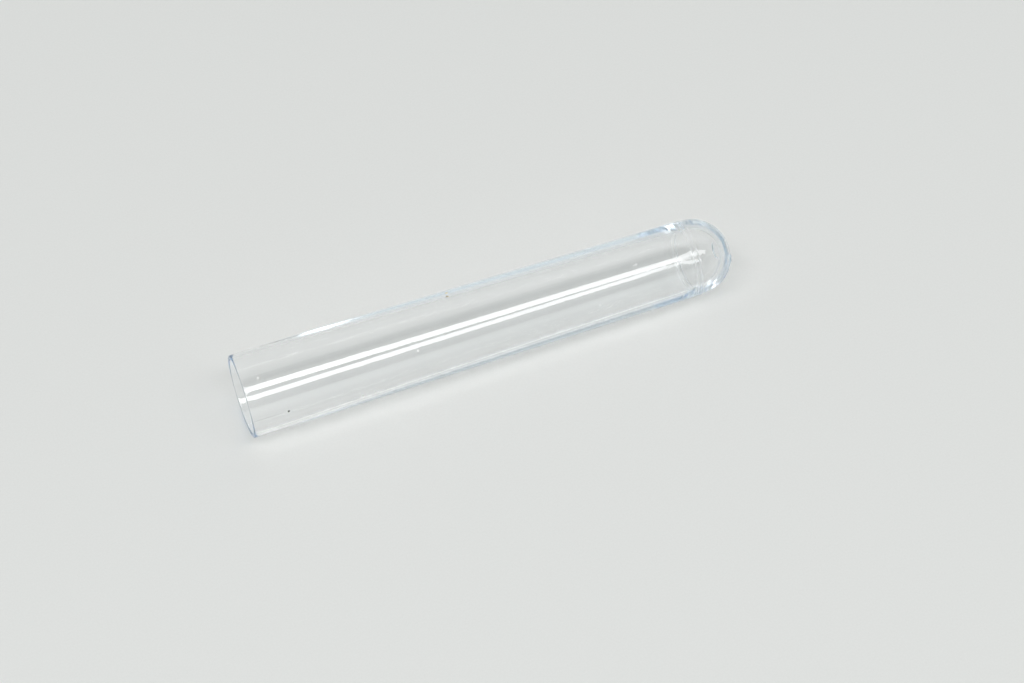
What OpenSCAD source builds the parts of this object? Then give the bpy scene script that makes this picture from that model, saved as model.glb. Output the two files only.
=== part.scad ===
// Plain-rim, round-bottom test tube, moulded in one piece from clear plastic.
// Frame: origin at the centre of the open end, +X along the tube towards the
// closed end, +Z up, so the tube lies on its side as it does on a bench.

/* [Tube] */
// Outside diameter at the open end
mouth_d = 16.0; // [14:0.1:18]
// Overall length, from the rim to the outside of the round end
length = 97.7; // [80:0.1:130]
// Outside diameter where the straight body meets the round end
toe_d = 14.79; // [14.2:0.01:15.6]
// Length of the true cylinder at the open end, inside and outside, that a stopper, cap or rack hole fits
land = 6; // [4:0.5:12]

/* [Wall] */
// Wall thickness at the open end
rim_wall = 0.75; // [0.65:0.05:1.2]
// Wall thickness where the straight body meets the round end
toe_wall = 1.4; // [0.8:0.05:1.6]
// Wall thickness at the centre of the round end
pole_wall = 1.85; // [1.6:0.05:2.4]
// Radius on the inner and outer edges of the rim
rim_edge = 0.2; // [0.1:0.05:0.3]

/* [Moulding marks] */
// Width of the witness band between the body cavity and the round-end insert
band_w = 0.95; // [0.5:0.05:1.5]
// Height of the flash line at the body side of the band
flash_h = 0.03; // [0.02:0.01:0.12]
// How much smaller in radius the round end is than the body where they meet
step_h = 0.12; // [0.02:0.01:0.15]
// Diameter of the flat on the core, inside the round end
core_flat_d = 3.5; // [2:0.1:5]
// Depth of the disc that the core's flat tip sinks into the round end
core_disc_h = 0.36; // [0.05:0.01:0.5]
// Diameter of the broken gate stub on the outside of the round end
gate_d = 2.0; // [1:0.1:2.5]
// Height of the gate stub above the round end
gate_h = 0.22; // [0.1:0.01:0.4]
// Angle of the gate stub away from the tube's axis
gate_off = 22; // [0:1:25]
// Direction of the gate stub around the axis, measured from -Z towards +Y
gate_turn = 276; // [0:1:359]

/* [Hidden] */
$fn = 96;

R0 = mouth_d / 2;                 // outside radius at the mouth
R1 = toe_d / 2;                   // outside radius at the witness band
r0 = R0 - rim_wall;               // inside radius at the mouth
r1 = R1 - toe_wall;               // inside radius at the round end
Rd = R1 - step_h;                 // outside radius of the round end
xd = length - Rd;                 // centre of the round end's outer sphere
xb2 = xd - 0.85;                  // far edge of the witness band
xb1 = xb2 - band_w;               // near edge of the witness band
// centre of the core's round end
xi = length - pole_wall - sqrt(r1 * r1 - core_flat_d * core_flat_d / 4);
clear = 0.4;                      // run-out of cutting tools past the mouth

// A straight or drafted length of round bar along Z.
module bar(z0, ra, z1, rb) {
    translate([0, 0, z0]) cylinder(h = z1 - z0, r1 = ra, r2 = rb);
}

// Everything inside the outer skin, standing on the mouth plane.
module outside() {
    // rounded outer edge of the rim
    rotate_extrude() {
        square([R0 - rim_edge, rim_edge]);
        translate([R0 - rim_edge, rim_edge]) intersection() {
            circle(r = rim_edge);
            translate([0, -rim_edge]) square([rim_edge, rim_edge]);
        }
    }
    bar(rim_edge, R0, land, R0);
    bar(land, R0, xb1, R1);
    // witness band: a raised flash line, a flat, then the step down to the insert
    bar(xb1 - 0.12, R1, xb1, R1 + flash_h);
    bar(xb1, R1 + flash_h, xb1 + 0.12, R1 - 0.01);
    bar(xb1 + 0.12, R1 - 0.01, xb2, R1 - 0.01);
    bar(xb2, R1 - 0.01, xb2 + 0.08, Rd);
    bar(xb2 + 0.08, Rd, xd, Rd);
    // round end
    intersection() {
        translate([0, 0, xd]) sphere(r = Rd);
        translate([0, 0, xd - 0.01]) cylinder(h = Rd + 1, r = Rd + 1);
    }
}

// The hollow that the moulding core leaves.
module inside() {
    bar(-clear, r0, land, r0);
    bar(land, r0, xi, r1);
    // disc sunk by the core's tip
    bar(length - pole_wall - 0.01, core_flat_d / 2, length - pole_wall + core_disc_h, core_flat_d / 2 - 0.05);
    // round end of the core, cut flat across its tip
    intersection() {
        translate([0, 0, xi]) sphere(r = r1);
        translate([0, 0, xi - 0.01]) cylinder(h = length - pole_wall - xi + 0.01, r = r1 + 1);
    }
}

// Ring of material taken off the inner edge of the rim to leave it rounded.
module rim_inner_round() {
    rotate_extrude() difference() {
        translate([r0 - 0.3, -clear]) square([rim_edge + 0.3, clear + rim_edge]);
        translate([r0 + rim_edge, rim_edge]) circle(r = rim_edge);
        translate([r0 + rim_edge, -clear - 1]) square([1, 2]);
    }
}

// Low stub left where the gate was broken off.
module gate_stub() {
    translate([0, 0, xd]) rotate([0, 0, gate_turn]) rotate([0, gate_off, 0])
        translate([0, 0, Rd - 0.3]) cylinder(h = 0.3 + gate_h, r = gate_d / 2, $fn = 48);
}

module tube() {
    color([0.86, 0.9, 0.94, 0.4]) rotate([0, 90, 0]) difference() {
        union() {
            outside();
            gate_stub();
        }
        inside();
        rim_inner_round();
    }
}

tube();
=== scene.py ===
import bpy, bmesh, math
from mathutils import Matrix, Vector, noise


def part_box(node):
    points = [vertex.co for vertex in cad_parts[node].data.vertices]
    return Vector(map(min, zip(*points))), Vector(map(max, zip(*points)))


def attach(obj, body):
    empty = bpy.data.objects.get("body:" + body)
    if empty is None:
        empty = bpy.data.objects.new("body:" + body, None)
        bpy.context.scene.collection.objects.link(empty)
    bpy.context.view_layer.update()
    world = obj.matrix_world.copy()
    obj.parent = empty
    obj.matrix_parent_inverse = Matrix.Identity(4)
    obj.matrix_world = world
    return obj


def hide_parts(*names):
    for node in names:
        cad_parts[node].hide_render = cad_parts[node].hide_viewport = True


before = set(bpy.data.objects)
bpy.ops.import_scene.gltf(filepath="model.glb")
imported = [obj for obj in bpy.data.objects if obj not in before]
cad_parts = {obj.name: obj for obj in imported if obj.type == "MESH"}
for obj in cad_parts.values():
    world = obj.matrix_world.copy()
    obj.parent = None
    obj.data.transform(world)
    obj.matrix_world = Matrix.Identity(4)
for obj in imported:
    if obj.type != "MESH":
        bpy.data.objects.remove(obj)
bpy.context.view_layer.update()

MM = 0.001

# ---------------------------------------------------------------- sizes
# The tube lies along +X with the centre of its mouth at the origin; the CAD box is read into LO and HI
# but not used, and the sizes below are given as numbers that repeat part.scad.
LO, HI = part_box("tube")
R0 = 8.0 * MM                       # outside radius at the mouth
LEN = 97.7 * MM                     # rim to the outside of the round end
R1 = 7.395 * MM                     # outside radius at the witness band
LAND = 6.0 * MM
RIM_WALL, TOE_WALL, POLE_WALL = 0.75 * MM, 1.40 * MM, 1.85 * MM
RIM_EDGE = 0.2 * MM
BAND_W, FLASH_H, STEP_H = 0.95 * MM, 0.03 * MM, 0.12 * MM
FLAT_R, DISC_H = 1.75 * MM, 0.36 * MM
RD = R1 - STEP_H                    # outside radius of the round end
XD = LEN - RD
XB2 = XD - 0.85 * MM
XB1 = XB2 - BAND_W
r0, r1 = R0 - RIM_WALL, R1 - TOE_WALL
rd = r1
NOSE = 6.1 * MM                     # the core's nose is a little longer than round
XI = LEN - POLE_WALL - NOSE * math.sqrt(1.0 - (FLAT_R / rd) ** 2)


def arc(cx, cr, r, a0, a1, n):
    """Points on a circle in the (x, r) half plane, angles in degrees from +x."""
    return [(cx + r * math.cos(math.radians(a0 + (a1 - a0) * i / n)),
             cr + r * math.sin(math.radians(a0 + (a1 - a0) * i / n))) for i in range(n + 1)]


def line(p, q, n):
    return [(p[0] + (q[0] - p[0]) * i / n, p[1] + (q[1] - p[1]) * i / n) for i in range(1, n)]


LEAN, LEAN_TURN = 0.38 * MM, math.radians(47.0)


def lean(x):
    """Offset (y, z) of the bore's centre line from the tube's, at x."""
    t = min(1.0, max(0.0, (x - LAND) / (XI - LAND)))
    t = 1.0 - (1.0 - t) ** 2
    return (-LEAN * t * math.cos(LEAN_TURN), LEAN * t * math.sin(LEAN_TURN))


def profile():
    """Closed wall section from the outer pole, round the rim, to the inner pole."""
    out = arc(XD, 0.0, RD, 0.0, 90.0, 144)
    out += line((XD, RD), (XB2 + 0.10 * MM, RD), 3) + [(XB2 + 0.10 * MM, RD)]
    # the step down to the round end, with a small bead on its shoulder
    step = [(XB2 + 0.09 * MM, RD + 0.10 * STEP_H), (XB2 + 0.07 * MM, RD + 0.5 * STEP_H),
            (XB2 + 0.055 * MM, R1 + 0.3 * FLASH_H), (XB2 + 0.035 * MM, R1 + 0.75 * FLASH_H),
            (XB2, R1 + 0.9 * FLASH_H), (XB2 - 0.035 * MM, R1 + 0.75 * FLASH_H),
            (XB2 - 0.065 * MM, R1 + 0.3 * FLASH_H), (XB2 - 0.095 * MM, R1)]
    out += step + line(step[-1], (XB1 + 0.11 * MM, R1), 4)
    # the flash line where the two halves of the cavity meet
    out += [(XB1 + 0.11 * MM, R1), (XB1 + 0.075 * MM, R1 + 0.25 * FLASH_H),
            (XB1 + 0.04 * MM, R1 + 0.8 * FLASH_H), (XB1, R1 + FLASH_H), (XB1 - 0.04 * MM, R1 + 0.8 * FLASH_H),
            (XB1 - 0.075 * MM, R1 + 0.25 * FLASH_H), (XB1 - 0.11 * MM, R1)]
    out += line((XB1 - 0.11 * MM, R1), (LAND, R0), 24)
    out += [(LAND, R0)] + line((LAND, R0), (RIM_EDGE, R0), 6)
    out += arc(RIM_EDGE, R0 - RIM_EDGE, RIM_EDGE, 90, 180, 6)
    out += arc(RIM_EDGE, r0 + RIM_EDGE, RIM_EDGE, 180, 270, 6)
    inner = len(out)
    out += line((RIM_EDGE, r0), (LAND, r0), 6) + [(LAND, r0)]
    out += line((LAND, r0), (XI, rd), 24)
    a = math.degrees(math.asin(FLAT_R / rd))
    out += [(XI + NOSE / rd * (px - XI), pr) for px, pr in arc(XI, 0.0, rd, 90.0, a, 72)]
    fx = XI + NOSE * math.cos(math.radians(a))
    # the core's tip leaves a flat disc, sunk into the plastic
    out += [(fx + 0.03 * MM, FLAT_R - 0.01 * MM), (fx + DISC_H - 0.04 * MM, FLAT_R - 0.03 * MM),
            (fx + DISC_H, FLAT_R - 0.08 * MM)]
    out += line((fx + DISC_H, FLAT_R - 0.08 * MM), (fx + DISC_H, 0.0), 5)
    out += [(fx + DISC_H, 0.0)]
    return out, inner


# Drag marks: each surface keeps faint ripples that run almost along the tube.
# (waves round the tube, height, phase, twist along the tube)
DRAG_OUT = [(7, 1.6, 0.3, 6.0), (13, 1.0, 1.1, -9.0), (23, 0.5, 4.0, 14.0), (37, 0.25, 2.2, -22.0)]
DRAG_IN = [(5, 2.0, 2.0, -5.0), (11, 1.2, 0.4, 8.0), (19, 0.6, 5.2, -12.0), (31, 0.3, 3.3, 25.0)]


def drag(waves, x, a):
    return 0.4e-6 * sum(h * math.sin(n * a + p + t * x / LEN * math.pi) for n, h, p, t in waves)


# The torn gate: a tooth, and a strip of crumbled skin beside it, both low down
# on the round end.  Directions are unit vectors from the round end's centre.
TOOTH = Vector((0.925, -0.375, -0.03)).normalized()
STRIP_MID = Vector((0.757, -0.618, -0.211)).normalized()
STRIP_WAY = Vector((-0.62, -0.59, -0.52))
STRIP_WAY = (STRIP_WAY - STRIP_MID * STRIP_WAY.dot(STRIP_MID)).normalized()
STRIP_OFF = STRIP_MID.cross(STRIP_WAY)


def gate(d):
    """Height above the round end's sphere in direction d."""
    ang = math.degrees(math.acos(max(-1.0, min(1.0, d.dot(TOOTH)))))
    h = 0.0
    if ang < 9.0:
        f = 1.0 - (ang / 9.0) ** 2
        h += 0.24 * MM * f * (0.65 + 0.9 * noise.noise(d * 40.0))
    along = math.degrees(math.atan2(d.dot(STRIP_WAY), d.dot(STRIP_MID)))
    off = math.degrees(math.asin(max(-1.0, min(1.0, d.dot(STRIP_OFF)))))
    w = max(0.0, 1.0 - (along / 27.0) ** 4) * max(0.0, 1.0 - (off / 11.0) ** 4)
    if d.dot(STRIP_MID) > 0.0 and w > 0.0:
        n = noise.noise(d * 15.0) + 0.6 * noise.noise(d * 33.0 + Vector((3.1, 0.2, 7.7)))
        h += w * 0.30 * MM * min(0.35, n)
    return h


def lathe(name, pts, turns, first_inner):
    """Solid of revolution about X; the first and last points sit on the axis.
    From ring first_inner on, the rings belong to the bore, whose core leant a little."""
    bm = bmesh.new()
    rings = []
    for i, (x, r) in enumerate(pts):
        bore = i >= first_inner
        cy, cz = lean(x) if bore else (0.0, 0.0)
        if r < 1e-9:
            rings.append([bm.verts.new((x, cy, cz))])
            continue
        fade = min(1.0, x / (10 * MM)) * min(1.0, r / (4 * MM))
        ring = []
        for k in range(turns):
            a = 2 * math.pi * k / turns
            rr = r + fade * drag(DRAG_IN if bore else DRAG_OUT, x, a)
            v = Vector((x, cy + rr * math.cos(a), cz + rr * math.sin(a)))
            if not bore and x > XD:
                d = (v - Vector((XD, 0.0, 0.0))).normalized()
                v += d * gate(d)
            ring.append(bm.verts.new(v))
        rings.append(ring)
    for a, b in zip(rings[:-1], rings[1:]):
        for k in range(turns):
            j = (k + 1) % turns
            if len(a) == 1:
                bm.faces.new((a[0], b[j], b[k]))
            elif len(b) == 1:
                bm.faces.new((a[k], a[j], b[0]))
            else:
                bm.faces.new((a[k], a[j], b[j], b[k]))
    bmesh.ops.recalc_face_normals(bm, faces=bm.faces)
    me = bpy.data.meshes.new(name)
    bm.to_mesh(me)
    bm.free()
    for p in me.polygons:
        p.use_smooth = True
    ob = bpy.data.objects.new(name, me)
    bpy.context.scene.collection.objects.link(ob)
    return ob


# ---------------------------------------------------------------- materials
# Centre and radius of each nick in the skin, and of each speck of dust on it.
NICKS = [((0.00319, -0.00217, 0.00769), 0.00024), ((0.02119, -0.00788, 0.00032), 0.00026),
         ((0.02343, -0.00785, 0.00045), 0.00019), ((0.03289, -0.00547, 0.00557), 0.00019),
         ((0.07749, -0.00246, 0.00705), 0.00020), ((0.07700, -0.00250, 0.00703), 0.00014),
         ((0.06873, -0.00661, 0.00362), 0.00018), ((0.05637, -0.00756, 0.00101), 0.00016)]
DUST = [((0.00696, -0.00764, 0.00236), 0.00020, (0.0, 0.0, 0.0)),
        ((0.04211, 0.00444, 0.00633), 0.00026, (0.72, 0.50, 0.18))]


def clear_plastic():
    mat = bpy.data.materials.new("clear_polystyrene")
    mat.use_nodes = True
    nt = mat.node_tree
    b = nt.nodes["Principled BSDF"]
    b.inputs["Base Color"].default_value = (1.0, 1.0, 1.0, 1.0)
    b.inputs["Transmission Weight"].default_value = 1.0
    b.inputs["IOR"].default_value = 1.59
    b.inputs["Roughness"].default_value = 0.0
    lnk = nt.links.new
    tc = nt.nodes.new("ShaderNodeTexCoord")

    def math_node(op, a, b_=None, c=None, clamp=False):
        m = nt.nodes.new("ShaderNodeMath")
        m.operation, m.use_clamp = op, clamp
        for k, val in enumerate((a, b_, c)):
            if val is None:
                continue
            if isinstance(val, (int, float)):
                m.inputs[k].default_value = val
            else:
                lnk(val, m.inputs[k])
        return m.outputs[0]

    axes = nt.nodes.new("ShaderNodeSeparateXYZ")
    lnk(tc.outputs["Object"], axes.inputs[0])
    # frosted crests of the two witness lines, broken up along their length
    brk = nt.nodes.new("ShaderNodeTexNoise")
    brk.inputs["Scale"].default_value = 900.0
    brk.inputs["Detail"].default_value = 2.0
    lnk(tc.outputs["Object"], brk.inputs["Vector"])
    frost = None
    for xc, half in ((XB1, 0.075 * MM), (XB2 + 0.01 * MM, 0.085 * MM)):
        dist = math_node("ABSOLUTE", math_node("SUBTRACT", axes.outputs["X"], xc))
        m = math_node("SUBTRACT", 1.0, math_node("DIVIDE", dist, half), clamp=True)
        frost = m if frost is None else math_node("MAXIMUM", frost, m)
    frost = math_node("MULTIPLY", frost, math_node("MULTIPLY_ADD", brk.outputs["Fac"], 1.6, -0.2, clamp=True))
    # hairline scratches and scuffs, long along the tube
    stretch = nt.nodes.new("ShaderNodeMapping")
    stretch.inputs["Scale"].default_value = (60.0, 1500.0, 1500.0)
    stretch.inputs["Rotation"].default_value = (0.0, 0.0, math.radians(4.0))
    lnk(tc.outputs["Object"], stretch.inputs["Vector"])
    scr = nt.nodes.new("ShaderNodeTexNoise")
    scr.inputs["Scale"].default_value = 1.0
    scr.inputs["Detail"].default_value = 1.0
    lnk(stretch.outputs["Vector"], scr.inputs["Vector"])
    scratch = math_node("MULTIPLY", math_node("SUBTRACT", scr.outputs["Fac"], 0.765, clamp=True), 12.0, clamp=True)
    # nicks: small bright chips
    nick = None
    for (cx, cy, cz), rad in NICKS:
        vd = nt.nodes.new("ShaderNodeVectorMath")
        vd.operation = "DISTANCE"
        lnk(tc.outputs["Object"], vd.inputs[0])
        vd.inputs[1].default_value = (cx, cy, cz)
        m = math_node("LESS_THAN", vd.outputs["Value"], rad)
        nick = m if nick is None else math_node("MAXIMUM", nick, m)
    white = math_node("MAXIMUM", math_node("MULTIPLY", frost, 0.75), math_node("MULTIPLY", scratch, 0.25))
    white = math_node("MAXIMUM", white, math_node("MULTIPLY", nick, 0.9))
    colour = None
    for (cx, cy, cz), rad, rgb in DUST:
        vd = nt.nodes.new("ShaderNodeVectorMath")
        vd.operation = "DISTANCE"
        lnk(tc.outputs["Object"], vd.inputs[0])
        vd.inputs[1].default_value = (cx, cy, cz)
        m = math_node("LESS_THAN", vd.outputs["Value"], rad)
        mix = nt.nodes.new("ShaderNodeMix")
        mix.data_type = "RGBA"
        lnk(m, mix.inputs["Factor"])
        if colour is None:
            mix.inputs["A"].default_value = (1.0, 1.0, 1.0, 1.0)
        else:
            lnk(colour, mix.inputs["A"])
        mix.inputs["B"].default_value = (*rgb, 1.0)
        colour = mix.outputs["Result"]
        white = math_node("MAXIMUM", white, m)
    lnk(colour, b.inputs["Base Color"])
    lnk(math_node("SUBTRACT", 1.0, white, clamp=True), b.inputs["Transmission Weight"])
    # the polish is slightly uneven
    haze = nt.nodes.new("ShaderNodeTexNoise")
    haze.inputs["Scale"].default_value = 120.0
    haze.inputs["Detail"].default_value = 3.0
    lnk(tc.outputs["Object"], haze.inputs["Vector"])
    rough = math_node("MULTIPLY_ADD", haze.outputs["Fac"], 0.05, -0.01, clamp=True)
    lnk(math_node("MULTIPLY_ADD", white, 0.4, rough, clamp=True), b.inputs["Roughness"])
    v = nt.nodes.new("ShaderNodeVolumeAbsorption")
    v.inputs["Color"].default_value = (0.04, 0.46, 0.76, 1.0)
    v.inputs["Density"].default_value = 7.5
    nt.links.new(v.outputs["Volume"], nt.nodes["Material Output"].inputs["Volume"])
    return mat


def table_top():
    mat = bpy.data.materials.new("table_top")
    mat.use_nodes = True
    nt = mat.node_tree
    b = nt.nodes["Principled BSDF"]
    b.inputs["Roughness"].default_value = 0.3
    b.inputs["Specular IOR Level"].default_value = 0.5
    tc = nt.nodes.new("ShaderNodeTexCoord")
    grain = nt.nodes.new("ShaderNodeTexNoise")
    grain.inputs["Scale"].default_value = 2600.0
    grain.inputs["Detail"].default_value = 4.0
    nt.links.new(tc.outputs["Object"], grain.inputs["Vector"])
    paper = nt.nodes.new("ShaderNodeValToRGB")
    paper.color_ramp.elements[0].position, paper.color_ramp.elements[1].position = 0.3, 0.7
    paper.color_ramp.elements[0].color = (0.774, 0.776, 0.767, 1.0)
    paper.color_ramp.elements[1].color = (0.795, 0.797, 0.788, 1.0)
    nt.links.new(grain.outputs["Fac"], paper.inputs["Fac"])
    nt.links.new(paper.outputs["Color"], b.inputs["Base Color"])
    return mat


# ---------------------------------------------------------------- the tube
TURNS = 512
section, inner = profile()
tube = lathe("tube_moulding", section, TURNS, inner)
tube.data.materials.append(clear_plastic())
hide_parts("tube")
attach(tube, "root")

# ---------------------------------------------------------------- table
# The table touches the tube at the end of its cylindrical land and at the
# flash line, so it is tipped by the tube's own draft.
tip = math.atan2(R0 - (R1 + FLASH_H), XB1 - LAND)
bm = bmesh.new()
for p in ((-3, -3), (3, -3), (3, 3), (-3, 3)):
    bm.verts.new((p[0], p[1], 0.0))
bm.faces.new(bm.verts)
me = bpy.data.meshes.new("table")
bm.to_mesh(me)
bm.free()
table = bpy.data.objects.new("table", me)
bpy.context.scene.collection.objects.link(table)
table.location = (LAND, 0.0, -R0)
table.rotation_euler = (0.0, -tip, 0.0)
table.data.materials.append(table_top())

# ---------------------------------------------------------------- camera
F = 2650.0                           # focal length in pixels of a 1024-wide frame
AZ, EL = math.radians(-17.35), math.radians(11.5)
X0, Y0, DIST = 241.15, 396.91, 0.4898
u = Vector((math.cos(EL) * math.cos(AZ), math.cos(EL) * math.sin(AZ), math.sin(EL)))
ROLL = math.radians(0.0)
E = math.atan2(-u.y, u.z)
z = Vector((0.0, -math.cos(E), -math.sin(E)))
z = Matrix.Rotation(ROLL, 3, u) @ z
y = z.cross(u)
M = Matrix((u, y, z))                # camera axes (right, down, forward) to the world
C = DIST * Vector(((X0 - 512.0) / F, (Y0 - 341.5) / F, 1.0))
eye = -(M @ C)
right, down, fwd = M.col[0], M.col[1], M.col[2]
cam = bpy.data.cameras.new("camera")
cam.sensor_fit = "HORIZONTAL"
cam.sensor_width = 36.0
cam.lens = F / 1024.0 * 36.0
cam.clip_start, cam.clip_end = 0.01, 20.0
co = bpy.data.objects.new("camera", cam)
bpy.context.scene.collection.objects.link(co)
rot = Matrix((right, -down, -fwd)).transposed()
co.matrix_world = Matrix.Translation(eye) @ rot.to_4x4()
bpy.context.scene.camera = co

# ---------------------------------------------------------------- light
MID = Vector((0.047, 0.0, 0.0))


def ceiling(name, height, x, near, length, width, yaw, radiance, color=(1, 1, 1)):
    """A soft flat panel facing down.  x and near: how far along the tube and
    towards the near side its middle is; yaw: degrees its long side is turned."""
    li = bpy.data.lights.new(name, "AREA")
    li.shape = "RECTANGLE"
    li.size, li.size_y = length, width
    li.color = color
    li.energy = radiance * math.pi * length * width
    ob = bpy.data.objects.new(name, li)
    bpy.context.scene.collection.objects.link(ob)
    ob.location = MID + Vector((x, -near, height))
    ob.rotation_euler = (0.0, 0.0, math.radians(yaw))
    return ob


H = 1.3
ceiling("key_panel", H, -0.06 * H, 0.325 * H, 1.54 * H, 0.235 * H, -21.0, 5.3)

# The room: its brightness only changes with the angle round the tube, from the
# near side (0) over the top (90) to the far side (180).
ROOM = [(0, 1.0), (12, 1.0), (20, 0.58), (38, 0.58), (44, 0.85), (54, 0.85), (57, 0.3), (61, 0.3), (64, 0.60), (82, 0.60), (86, 0.10),
        (101, 0.05), (103, 0.74), (128, 0.78), (136, 0.55), (168, 0.55), (176, 0.85), (180, 0.85)]
world = bpy.data.worlds.new("studio")
bpy.context.scene.world = world
world.use_nodes = True
wn = world.node_tree
bg = wn.nodes["Background"]
co_ = wn.nodes.new("ShaderNodeTexCoord")
sep = wn.nodes.new("ShaderNodeSeparateXYZ")
neg = wn.nodes.new("ShaderNodeMath")
neg.operation = "MULTIPLY"
neg.inputs[1].default_value = -1.0
atn = wn.nodes.new("ShaderNodeMath")
atn.operation = "ARCTAN2"
div = wn.nodes.new("ShaderNodeMath")
div.operation = "DIVIDE"
div.inputs[1].default_value = math.pi
ramp = wn.nodes.new("ShaderNodeValToRGB")
wn.links.new(co_.outputs["Generated"], sep.inputs[0])
wn.links.new(sep.outputs["Y"], neg.inputs[0])
wn.links.new(sep.outputs["Z"], atn.inputs[0])
wn.links.new(neg.outputs[0], atn.inputs[1])
wn.links.new(atn.outputs[0], div.inputs[0])
wn.links.new(div.outputs[0], ramp.inputs[0])
PEAK = max(v for _, v in ROOM)
el = ramp.color_ramp.elements
while len(el) < len(ROOM):
    el.new(0.5)
for k, (deg, v) in enumerate(ROOM):
    el[k].position = deg / 180.0
for k, (deg, v) in enumerate(ROOM):
    el[k].color = (0.97 * v / PEAK, v / PEAK, 0.985 * v / PEAK, 1.0)
wn.links.new(ramp.outputs["Color"], bg.inputs["Color"])
bg.inputs["Strength"].default_value = PEAK

sc = bpy.context.scene
sc.view_settings.view_transform = "Standard"
sc.cycles.blur_glossy = 0.0            # light through the clear wall keeps its path
sc.cycles.max_bounces = 300
sc.cycles.transmission_bounces = 300
sc.cycles.glossy_bounces = 300
sc.cycles.diffuse_bounces = 5
